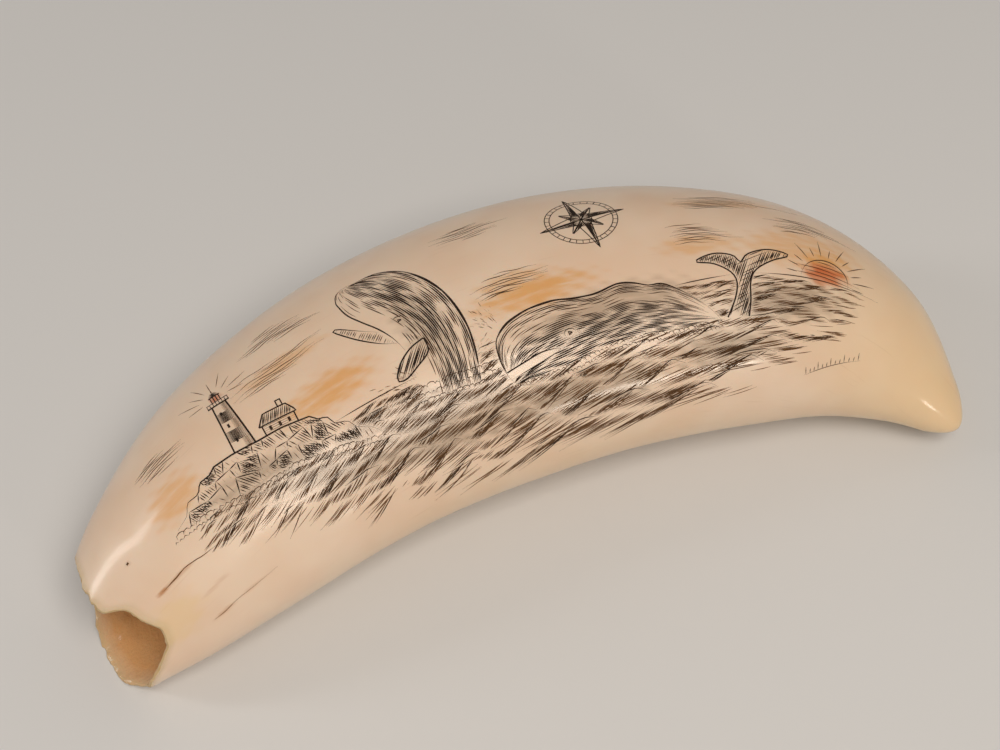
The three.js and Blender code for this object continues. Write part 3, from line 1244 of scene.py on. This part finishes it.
@dataclass(frozen=True)
class DentineFinish:
    """Polished sperm whale dentine.

    Real material: dentine, scraped, sanded and buffed by hand, so it has a soft gloss, light
    that spreads under the skin, a warm cream colour that yellows with age towards the tip, and
    faint grain along the tooth. The broken root and the pulp cavity were never polished. The
    finest scratches are drawn a quarter of a millimetre wide, as coarse as they need to show.
    """

    name: str = "polished_dentine"
    cream: str = "#ebd3bc"
    peach: str = "#e5c6ab"
    aged: str = "#e8c994"
    streak: str = "#b98a55"
    sunset: str = "#dfa04e"
    glow: str = "#c8602e"
    wash: str = "#7c664c"
    thin_edge: str = "#c2aa78"
    ochre: str = "#cf9a62"
    deep_ochre: str = "#ad763e"
    stain: str = "#b4702a"
    ior: float = 1.54
    roughness: float = 0.33
    unpolished_roughness: float = 0.85
    uneven_roughness: float = 0.14
    pattern_roughness: float = 0.55
    subsurface: float = 0.18
    subsurface_reach_mm: float = 2.0
    subsurface_spread: tuple[float, float, float] = (1.0, 0.5, 0.28)
    coat: float = 0.45
    coat_roughness: float = 0.13
    blotch_mm: float = 16.0
    grain_mm: tuple[float, float] = (14.0, 0.55)
    brush_mm: tuple[float, float] = (9.0, 1.5)
    scratch_mm: tuple[float, float] = (100 / 9, 0.25)
    scratch_depth_mm: float = 0.03
    pulp_mm: float = 5.0
    pit_mm: float = 0.8
    pit_depth_mm: float = 0.35

    def build(self) -> bpy.types.Material:
        """Makes the material.

        Returns:
            A material that reads the mesh's own attributes for its stains and washes.
        """
        values = {
            "IOR": self.ior,
            "Subsurface Weight": self.subsurface,
            "Subsurface Radius": self.subsurface_spread,
            "Subsurface Scale": self.subsurface_reach_mm * MM,
            "Coat Weight": self.coat,
            "Coat Roughness": self.coat_roughness,
        }
        material, shader = start_material(self.name, values)
        tree = material.node_tree
        node = partial(add_node, tree)
        place = node("ShaderNodeTexCoord").outputs["Object"]
        skin = node("ShaderNodeAttribute", {"attribute_name": "skin"}).outputs["Vector"]

        masks = {
            mask: node("ShaderNodeAttribute", {"attribute_name": mask.value}).outputs["Fac"]
            for mask in Mask
        }
        times = {"operation": "MULTIPLY"}

        def soft_pattern(
            cell_mm: float | tuple[float, float],
            detail: float,
            shown: tuple[float, float, float] | None = None,
        ) -> Socket:
            """Makes a soft uneven pattern, the same all ways or drawn out down the tooth.

            Args:
                cell_mm: A cell's size, or its length down the tooth and its width round it.
                detail: How many finer layers it has.
                shown: Where it starts to show, where it is strongest, and how strong it is there.

            Returns:
                The pattern's strength.
            """
            vector, scale = place, 1.0
            if isinstance(cell_mm, tuple):
                stretch = (1 / cell_mm[0], 1 / cell_mm[1], 1.0)
                vector = node("ShaderNodeVectorMath", times, {1: stretch}, {0: skin}).outputs[0]
            else:
                scale = 1 / (cell_mm * MM)
            values = {"Scale": scale, "Detail": detail, "Roughness": self.pattern_roughness}
            strength = node("ShaderNodeTexNoise", {}, values, {"Vector": vector}).outputs["Fac"]
            if shown is None:
                return strength
            low, high, top = shown
            values = {"From Min": low, "From Max": high, "To Min": 0.0, "To Max": top}
            settings = {"interpolation_type": "SMOOTHSTEP"}
            return node("ShaderNodeMapRange", settings, values, {"Value": strength}).outputs["Result"]

        colour = node("ShaderNodeRGB").outputs[0]
        colour.default_value = linear(self.cream)
        streaky = soft_pattern(self.brush_mm, 3.0, (0.1, 0.6, 1.0))
        layers = (
            (self.peach, soft_pattern(self.blotch_mm, 2.0, (0.3, 0.7, 0.8)), None),
            (self.aged, masks[Mask.AGED], None),
            (self.streak, soft_pattern(self.grain_mm, 4.0, (0.6, 0.8, 0.22)), None),
            (self.stain, masks[Mask.STAIN], None),
            (self.sunset, masks[Mask.SUNSET], streaky),
            (self.glow, masks[Mask.GLOW], streaky),
            (self.wash, masks[Mask.WASH], streaky),
            (self.thin_edge, masks[Mask.THIN], None),
            (self.ochre, masks[Mask.HOLLOW], None),
            (self.deep_ochre, masks[Mask.HOLLOW], soft_pattern(self.pulp_mm, 5.0, (0.45, 0.8, 0.5))),
        )
        for tint, amount, within in layers:
            if within is not None:
                amount = node("ShaderNodeMath", times, {}, {0: amount, 1: within}).outputs[0]
            links = {0: amount, 6: colour}
            mixed = node("ShaderNodeMix", {"data_type": "RGBA"}, {7: linear(tint)}, links)
            colour = mixed.outputs[2]
        tree.links.new(colour, shader.inputs["Base Color"])

        raw = masks[Mask.UNPOLISHED]
        ends = {2: self.roughness, 3: self.unpolished_roughness}
        rough = node("ShaderNodeMix", {"data_type": "FLOAT"}, ends, {0: raw}).outputs[0]
        links = {0: soft_pattern(self.blotch_mm, 2.0), 2: rough}
        values = {1: self.uneven_roughness}
        uneven = node("ShaderNodeMath", {"operation": "MULTIPLY_ADD"}, values, links)
        tree.links.new(uneven.outputs[0], shader.inputs["Roughness"])

        values = {"Strength": 0.3, "Distance": self.scratch_depth_mm * MM}
        fine = node("ShaderNodeBump", {}, values, {"Height": soft_pattern(self.scratch_mm, 5.0)})
        links = {0: soft_pattern(self.pit_mm, 6.0), 1: raw}
        coarse = node("ShaderNodeMath", times, {}, links)
        values = {"Strength": 0.8, "Distance": self.pit_depth_mm * MM}
        links = {"Height": coarse.outputs[0], "Normal": fine.outputs[0]}
        bump = node("ShaderNodeBump", {}, values, links)
        tree.links.new(bump.outputs[0], shader.inputs["Normal"])
        return material


@dataclass(frozen=True)
class InkFinish:
    """Ink rubbed into engraved lines.

    Real material: lamp black in oil, wiped off the skin and left in the cuts, so it is matt,
    near black where a cut is deep and brown where it is shallow.
    """

    name: str = "rubbed_ink"
    deep: str = "#281b11"
    shallow: str = "#8a6038"
    roughness: float = 0.6
    specular: float = 0.25
    fleck_mm: float = 1.2
    fleck_strength: float = 0.35
    average_wear: float = 0.17

    def build(self) -> bpy.types.Material:
        """Makes the material.

        Returns:
            A material that reads each line's tone.
        """
        values = {"Roughness": self.roughness, "Specular IOR Level": self.specular}
        material, shader = start_material(self.name, values)
        tree = material.node_tree
        node = partial(add_node, tree)
        tone = node("ShaderNodeAttribute", {"attribute_name": "tone"}).outputs["Fac"]
        place = node("ShaderNodeTexCoord").outputs["Object"]
        scale = {"Scale": 1 / (self.fleck_mm * MM)}
        fleck = node("ShaderNodeTexNoise", {}, scale, {"Vector": place}).outputs["Fac"]
        # What the flecks take away on average is given back first.
        values = {1: self.average_wear}
        shifted = node("ShaderNodeMath", {"operation": "ADD"}, values, {0: tone}).outputs[0]
        settings = {"operation": "MULTIPLY_ADD", "use_clamp": True}
        links = {0: fleck, 2: shifted}
        worn = node("ShaderNodeMath", settings, {1: -self.fleck_strength}, links).outputs[0]
        ends = {6: linear(self.shallow), 7: linear(self.deep)}
        mix = node("ShaderNodeMix", {"data_type": "RGBA"}, ends, {0: worn})
        tree.links.new(mix.outputs[2], shader.inputs["Base Color"])
        return material


Ring = tuple[Points, Points, float]


@dataclass
class ToothBody:
    """The tooth's skin, from the pulp cavity's apex over the broken rim to the tip."""

    form: ToothForm
    finish: DentineFinish
    around: int = 288
    body_rows: int = 246
    tip_rows: int = 12
    cavity_rows: int = 44
    wall_shares: tuple[float, ...] = (0.12, 0.35, 0.65, 0.88)
    row_crowding: float = 1.15
    apex_crowding: float = 1.5
    worn_wall_share: float = 0.3
    wear_reach: float = 6.0
    sunset: tuple[Tint, ...] = (
        Tint(29, 12, 7, 5, 20, 0.6), Tint(61, 8.5, 12, 4.5, 0, 0.75), Tint(58, 19, 11, 2.4, 0, 0.4),
        Tint(104, 9.0, 16, 4.2, 0, 0.8), Tint(101, 13, 9, 2, 0, 0.45), Tint(138, 13, 10, 3, 4, 0.5),
        Tint(163, 11, 5.5, 5, 0, 0.85), Tint(157, 14, 14, 6, 8, 0.5),
        Tint(143, 25.5, 12, 2, 4, 0.35),
    )
    glow: tuple[Tint, ...] = (
        Tint(163, 9.4, 5.2, 3.4, 4, 0.9), Tint(46, 22.4, 1.2, 1.4, 0, 0.8),
    )
    wash: tuple[Tint, ...] = (
        Tint(50, -5, 20, 6, -14, 0.6), Tint(78, -8, 24, 8, -6, 0.6), Tint(66, -1, 16, 3, -2, 0.5),
        Tint(108, -12, 24, 6, 0, 0.55), Tint(116, 1.5, 26, 6, 5, 0.5), Tint(142, -8, 18, 5, 4, 0.5),
        Tint(156, 2, 16, 5, 10, 0.5), Tint(42, 3.5, 14, 4.5, -12, 0.5),
        Tint(82, 12, 5.5, 13, 8, 0.4),
    )
    stains: tuple[Tint, ...] = (
        Tint(16.9, 0.8, 1.5, 0.5, 0, 0.7), Tint(20.5, 0.9, 4.5, 0.5, 0, 0.35),
        Tint(16.2, 9.2, 0.7, 0.7, 0, 0.35), Tint(22.5, -9.7, 3.5, 0.45, -3, 0.35),
        Tint(29, -10.0, 5, 0.4, -3, 0.2), Tint(160, 30, 2.6, 0.8, 20, 0.3),
        Tint(24, -5, 4, 0.5, 0, 0.2),
    )
    break_patch: Tint = Tint(15.5, -4.5, 7, 5, 0, 0.45)

    def _cavity(self, angle: Points) -> list[Ring]:
        """The rings of the cavity, from its apex to the rim, its wall worn thin at the break.

        Args:
            angle: Angles round the section.

        Returns:
            For each ring its points, its distances along, and how deep in the hollow it lies.
        """
        form, rings = self.form, []
        edge = form.rim(angle)
        worn = form.wall_at_rim * self.worn_wall_share
        for i in range(self.cavity_rows - 1, -1, -1):
            left = (1 - i / self.cavity_rows) ** self.apex_crowding
            mark = form.root_lost + form.cavity_depth * (1 - left)
            along = form.from_rim(np.full(self.around, mark), angle)
            kept = smooth_step(along - edge, 0, self.wear_reach)
            wall = worn + (form.wall_at_rim - worn) * kept
            rings.append((form.cavity(along, angle, left**form.cavity_taper, wall), along, 1.0))
        for share in self.wall_shares:
            crumble = 0.05 * np.sin(31 * angle + 9 * share) + 0.03 * np.sin(53 * angle - 5 * share)
            bulge = edge - (0.2 + crumble) * math.sin(math.pi * share)
            inner, outer = form.cavity(bulge, angle, 1.0, worn), form.outer(bulge, angle)
            rings.append((inner * (1 - share) + outer * share, bulge, 0.45 * (1 - share)))
        return rings

    def _outside(self, angle: Points) -> list[Ring]:
        """The rings of the outside, from the rim to just short of the tip.

        Args:
            angle: Angles round the section.

        Returns:
            For each ring its points, its distances along, and 0 for the hollow.
        """
        form, rings = self.form, []
        reach = form.spine_length - form.tip_rounding - form.root_lost
        shares = [(i / self.body_rows) ** self.row_crowding for i in range(self.body_rows + 1)]
        marks = [form.root_lost + reach * share for share in shares]
        for i in range(1, self.tip_rows):
            rise = math.sin(i / self.tip_rows * math.pi / 2)
            marks.append(form.spine_length - form.tip_rounding * (1 - rise))
        for mark in marks:
            along = form.from_rim(np.full(self.around, mark), angle)
            rings.append((form.outer(along, angle), along, 0.0))
        return rings

    def build(self) -> bpy.types.Object:
        """Makes the skin with its coordinates and colour masks.

        Returns:
            The tooth, ready to ride on its body.
        """
        form, n = self.form, self.around
        angle = np.linspace(0, math.tau, n, endpoint=False)
        rings = self._cavity(angle) + self._outside(angle)
        tip = form.outer(np.array([form.spine_length]), np.zeros(1))
        points = np.vstack([r[0] for r in rings] + [rings[0][0].mean(0, keepdims=True), tip])
        k = np.arange(n)
        following = (k + 1) % n
        joined = [
            np.stack([low + k, low + following, low + n + following, low + n + k], -1)
            for low in range(0, (len(rings) - 1) * n, n)
        ]
        first, last = len(rings) * n, (len(rings) - 1) * n
        start_fan = np.stack([following, k, np.full(n, first)], -1)
        end_fan = np.stack([last + k, last + following, np.full(n, first + 1)], -1)
        faces = np.vstack(joined).tolist() + start_fan.tolist() + end_fan.tolist()
        mesh = bpy.data.meshes.new("tooth_skin")
        mesh.from_pydata(points.tolist(), [], faces)
        mesh.polygons.foreach_set("use_smooth", np.ones(len(mesh.polygons), bool))
        self._colour_masks(mesh, rings, np.tile(angle, len(rings)))
        mesh.materials.append(self.finish.build())
        return add_object("tooth_skin", mesh)

    def _colour_masks(self, mesh: bpy.types.Mesh, rings: list[Ring], angle: Points) -> None:
        """Stores the masks that the finish reads, and the skin's own coordinates.

        Args:
            mesh: The skin's mesh.
            rings: Its rings, in order.
            angle: The angle of each point round the section.
        """
        form, n = self.form, self.around
        along = np.concatenate([r[1] for r in rings])
        hollow = np.repeat([r[2] for r in rings], n)
        behind = math.radians(form.picture_middle_deg + 180)
        height = form.arc_between(along, np.where(angle > behind, angle - math.tau, angle))
        outside = hollow == 0
        past_rim = along - form.rim(angle)
        inner = np.where(hollow == 1, 0.25 + 0.75 * smooth_step(past_rim, 0.0, 3.0), hollow)
        thin = 0.45 * (1 - smooth_step(past_rim, 0.0, 1.8))
        in_picture = smooth_step(height - sea_floor(along), 1, 6)
        fields = {
            Mask.HOLLOW: inner,
            Mask.UNPOLISHED: np.where(outside, 1 - smooth_step(past_rim, 0.0, 0.6), 1.0),
            Mask.THIN: np.where(outside, thin, 1 - inner),
            Mask.AGED: np.where(outside, self._aged(along, height), 0.0),
            Mask.SUNSET: self._painted(self.sunset, along, height) * outside,
            Mask.GLOW: self._painted(self.glow, along, height) * outside,
            Mask.WASH: self._painted(self.wash, along, height) * outside * in_picture,
            Mask.STAIN: self._painted(self.stains, along, height) * outside,
        }
        for mask, values in fields.items():
            ends = [values[:n].mean(), values[-n:].mean()]
            store(mesh, mask.value, np.concatenate([values, ends]))
        skin = np.stack([along, height, np.zeros_like(along)], -1)
        store(mesh, "skin", np.vstack([skin, skin[:n].mean(0), skin[-n:].mean(0)]))

    def _aged(self, along: Points, height: Points) -> Points:
        """How far the dentine has yellowed: towards the tip, by the break, inside the bend.

        Args:
            along: Distances from the old root edge.
            height: Heights in the picture.

        Returns:
            Shares from 0 to 1.
        """
        tip = smooth_step(along, 150, self.form.spine_length)
        low = smooth_step(-height, 14, 34)
        return np.clip(0.6 * tip + 0.35 * low + self.break_patch.paint(along, height), 0, 1)

    @staticmethod
    def _painted(tints: tuple[Tint, ...], along: Points, height: Points) -> Points:
        """All patches of one colour together."""
        return 1 - np.prod([1 - np.clip(t.paint(along, height), 0, 1) for t in tints], axis=0)


@dataclass
class InlaidLines:
    """Engraved lines as slender ink inlays: flat on top, and sunk to an edge in the dentine.

    The section is a three-sided ring of radius 1, which is ring_height high. The two other
    ring values make its flat side 1 wide and bring it level with the line.
    """

    form: ToothForm
    material: bpy.types.Material
    proud: float = 0.016
    depth_share: float = 0.5
    point_width: float = 0.03
    ring_height: float = 1.5
    ring_narrowing: float = 0.57735
    ring_drop: float = -0.5

    def tree(self) -> bpy.types.NodeTree:
        """Builds the node tree that turns runs of points into inlays along the skin.

        Returns:
            The tree, whose inputs are the lines, their depth, their width and their ink.
        """
        tree = bpy.data.node_groups.new("inlaid_line", "GeometryNodeTree")
        inputs = {
            "Lines": "Geometry",
            "Depth Share": "Float",
            "Width Scale": "Float",
            "Ink": "Material",
        }
        for name, kind in inputs.items():
            tree.interface.new_socket(name, in_out="INPUT", socket_type="NodeSocket" + kind)
        tree.interface.new_socket("Inlay", in_out="OUTPUT", socket_type="NodeSocketGeometry")
        node = partial(add_node, tree)
        given = node("NodeGroupInput").outputs
        named, multiply = "GeometryNodeInputNamedAttribute", {"operation": "MULTIPLY"}
        outward = node(named, {"data_type": "FLOAT_VECTOR"}, {"Name": "outward"})
        width = node(named, {"data_type": "FLOAT"}, {"Name": "line_width"})
        curve = node("GeometryNodeMeshToCurve", {}, {}, {"Mesh": given["Lines"]})
        links = {"Curve": curve.outputs[0], "Normal": outward.outputs["Attribute"]}
        upright = node("GeometryNodeSetCurveNormal", {"mode": "FREE"}, {}, links)
        values = {"Resolution": 3, "Radius": 1.0}
        ring = node("GeometryNodeCurvePrimitiveCircle", {"mode": "RADIUS"}, values)
        links = {0: given["Depth Share"]}
        deep = node("ShaderNodeMath", {"operation": "DIVIDE"}, {1: self.ring_height}, links)
        values = {"Y": self.ring_narrowing, "Z": 1.0}
        size = node("ShaderNodeCombineXYZ", {}, values, {"X": deep.outputs[0]})
        sunk = node("ShaderNodeMath", multiply, {1: self.ring_drop}, {0: deep.outputs[0]})
        lower = node("ShaderNodeCombineXYZ", {}, {}, {"X": sunk.outputs[0]})
        links = {"Geometry": ring.outputs["Curve"], "Scale": size.outputs[0]}
        links["Translation"] = lower.outputs[0]
        section = node("GeometryNodeTransform", {}, {"Rotation": (0.0, 0.0, math.pi)}, links)
        links = {0: width.outputs["Attribute"], 1: given["Width Scale"]}
        scale = node("ShaderNodeMath", multiply, {}, links)
        links = {"Curve": upright.outputs[0], "Profile Curve": section.outputs[0]}
        links["Scale"] = scale.outputs[0]
        swept = node("GeometryNodeCurveToMesh", {}, {"Fill Caps": True}, links)
        real = node("GeometryNodeRealizeInstances", {}, {}, {"Geometry": swept.outputs[0]})
        links = {"Geometry": real.outputs[0], "Material": given["Ink"]}
        inked = node("GeometryNodeSetMaterial", {}, {}, links)
        node("NodeGroupOutput", {}, {}, {0: inked.outputs[0]})
        return tree

    def build(self, name: str, strokes: list[Stroke], group: bpy.types.NodeTree) -> bpy.types.Object:
        """Lays one motif's lines on the skin and turns them into one plain mesh.

        Args:
            name: The piece's name.
            strokes: The motif's lines.
            group: The tree that makes the inlays.

        Returns:
            The piece, ready to ride on its body.
        """
        edges, count = [], 0
        for stroke in strokes:
            n = len(stroke.places)
            edges.extend((count + i, count + i + 1) for i in range(n - 1))
            count += n
        along, height = np.vstack([stroke.places for stroke in strokes]).T
        angle = self.form.angle_of(along, height)
        mesh = bpy.data.meshes.new(name + "_lines")
        mesh.from_pydata(self.form.outer(along, angle, self.proud).tolist(), edges, [])
        store(mesh, "line_width", np.concatenate([self._taper(s) for s in strokes]) * MM)
        store(mesh, "tone", np.concatenate([np.full(len(s.places), s.tone) for s in strokes]))
        store(mesh, "outward", self.form.outward(along, angle))
        lines = add_object(name + "_lines", mesh)
        modifier = lines.modifiers.new("inlay", "NODES")
        modifier.node_group = group
        chosen = {"Depth Share": self.depth_share, "Width Scale": 1.0, "Ink": self.material}
        for socket in group.interface.items_tree:
            if socket.in_out == "INPUT" and socket.name in chosen:
                modifier[socket.identifier] = chosen[socket.name]
        evaluated = lines.evaluated_get(bpy.context.evaluated_depsgraph_get())
        plain = bpy.data.meshes.new_from_object(evaluated)
        plain.name = name
        lines.modifiers.clear()
        bpy.data.objects.remove(lines)
        return add_object(name, plain)

    def _taper(self, stroke: Stroke) -> Points:
        """A line's widths, drawn out to a point at the ends that the tool left gently.

        Args:
            stroke: The line.

        Returns:
            The width at each of its places.
        """
        share = np.linspace(0, 1, len(stroke.places))
        width = np.full(len(share), stroke.width)
        if stroke.point_start:
            width = width * smooth_step(share, -0.02, 0.3)
        if stroke.point_end:
            width = width * smooth_step(1 - share, -0.02, 0.45)
        return np.maximum(width, self.point_width)


@dataclass
class Picture:
    """The whole engraved picture, motif by motif, from the nearest to the farthest."""

    lighthouse: Lighthouse = field(default_factory=Lighthouse)
    whale: SpermWhale = field(default_factory=SpermWhale)
    leaping: BreachingWhale = field(default_factory=BreachingWhale)
    sun: Sun = field(default_factory=Sun)
    compass: CompassRose = field(default_factory=CompassRose)
    clouds: StreakClouds = field(default_factory=StreakClouds)
    sea: Sea = field(default_factory=Sea)
    ticks: TickRow = field(default_factory=TickRow)
    marks: AgeMarks = field(default_factory=AgeMarks)

    def motifs(self) -> dict[str, list[Stroke]]:
        """Cuts every motif, each from a seed of its own.

        Returns:
            The motifs' lines, by the name of their piece.
        """
        whale = self.whale.covers()
        standing = [*self.lighthouse.covers(), *whale, *self.leaping.covers()]
        plan = [
            ("lighthouse_engraving", 3, self.lighthouse, []),
            ("whale_engraving", 5, self.whale, []),
            ("leaping_whale_engraving", 6, self.leaping, whale),
            ("sun_engraving", 7, self.sun, whale),
            ("compass_engraving", 9, self.compass, []),
            ("cloud_engraving", 11, self.clouds, [*standing, self.compass.cover()]),
            ("sea_engraving", 13, self.sea, standing),
            ("tick_row", 15, self.ticks, []),
            ("drying_crack", 17, self.marks, []),
        ]
        cut = {}
        for name, seed, motif, covers in plan:
            engraving = Engraving(seed, covers)
            motif.engrave(engraving)
            cut[name] = engraving.strokes
        return cut


@dataclass(frozen=True)
class SoftLight:
    """A rectangular light, hung in metres from the origin and turned to the tooth."""

    name: str
    at: tuple[float, float, float]
    wide: float
    deep: float
    power: float
    colour: str

    def hang(self) -> None:
        """Puts the light into the scene."""
        data = bpy.data.lights.new(self.name, "AREA")
        data.shape = "RECTANGLE"
        data.size, data.size_y = self.wide, self.deep
        data.energy = self.power
        data.color = linear(self.colour)[:3]
        light = add_object(self.name, data)
        light.location = self.at
        towards = Vector((0, 0, 0.02)) - Vector(self.at)
        light.rotation_euler = towards.to_track_quat("-Z", "Y").to_euler()


@dataclass
class Studio:
    """A plain pale floor, soft lights, and the camera of the photograph's view."""

    azimuth_deg: float = -17.35
    elevation_deg: float = 55.0
    distance: float = 352.1
    aim: tuple[float, float, float] = (0.14, 4.58, 15.0)
    lens: float = 65.0
    floor_colour: str = "#d9dadc"
    floor_roughness: float = 0.9
    floor_half: float = 2.0
    air_colour: str = "#f4efe8"
    air_strength: float = 0.27
    lights: tuple[SoftLight, ...] = (
        SoftLight("key", (0.05, -0.44, 0.80), 0.55, 0.45, 4.9, "#fff4e6"),
        SoftLight("window", (-0.67, 0.20, 0.33), 0.08, 0.42, 0.95, "#fff9f2"),
        SoftLight("lamp", (0.24, -0.65, 0.22), 0.08, 0.05, 0.35, "#fff4e6"),
    )

    def build(self) -> None:
        """Sets up the camera, the floor, the lights and the world."""
        self._camera()
        self._floor()
        for light in self.lights:
            light.hang()
        world = bpy.data.worlds.new("room")
        world.use_nodes = True
        background = world.node_tree.nodes["Background"]
        background.inputs["Color"].default_value = linear(self.air_colour)
        background.inputs["Strength"].default_value = self.air_strength
        bpy.context.scene.world = world
        bpy.context.scene.view_settings.view_transform = "Standard"

    def _camera(self) -> None:
        """Stands the camera back from its aim, at the photograph's angle."""
        (c, s), (level, rise) = direction(self.azimuth_deg), direction(self.elevation_deg)
        back = Vector((s * level, -c * level, rise))
        data = bpy.data.cameras.new("camera")
        data.lens = self.lens
        data.clip_start = 0.01
        camera = add_object("camera", data)
        camera.location = Vector(self.aim) * MM + back * self.distance * MM
        camera.rotation_euler = (-back).to_track_quat("-Z", "Y").to_euler()
        bpy.context.scene.camera = camera

    def _floor(self) -> None:
        """Lays the floor, which is no part of the object."""
        half = self.floor_half
        corners = [(-half, -half, 0), (half, -half, 0), (half, half, 0), (-half, half, 0)]
        mesh = bpy.data.meshes.new("floor")
        mesh.from_pydata(corners, [], [(0, 1, 2, 3)])
        values = {"Base Color": linear(self.floor_colour), "Roughness": self.floor_roughness}
        mesh.materials.append(start_material("pale_floor", values)[0])
        add_object("floor", mesh)


def main() -> None:
    """Builds the tooth, its engraving and the studio."""
    logging.basicConfig(level=logging.INFO, format="%(name)s: %(message)s")
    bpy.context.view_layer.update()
    Studio().build()
    form = ToothForm()
    form.fit_to(*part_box("tooth"))
    tooth = ToothBody(form, DentineFinish()).build()
    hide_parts("tooth")
    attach(tooth, BODY)
    log.info("%s: %d faces", tooth.name, len(tooth.data.polygons))
    lines = InlaidLines(form, InkFinish().build())
    group = lines.tree()
    for name, strokes in Picture().motifs().items():
        piece = lines.build(name, strokes, group)
        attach(piece, BODY)
        log.info("%s: %d lines, %d faces", name, len(strokes), len(piece.data.polygons))


if __name__ == "__main__":
    main()
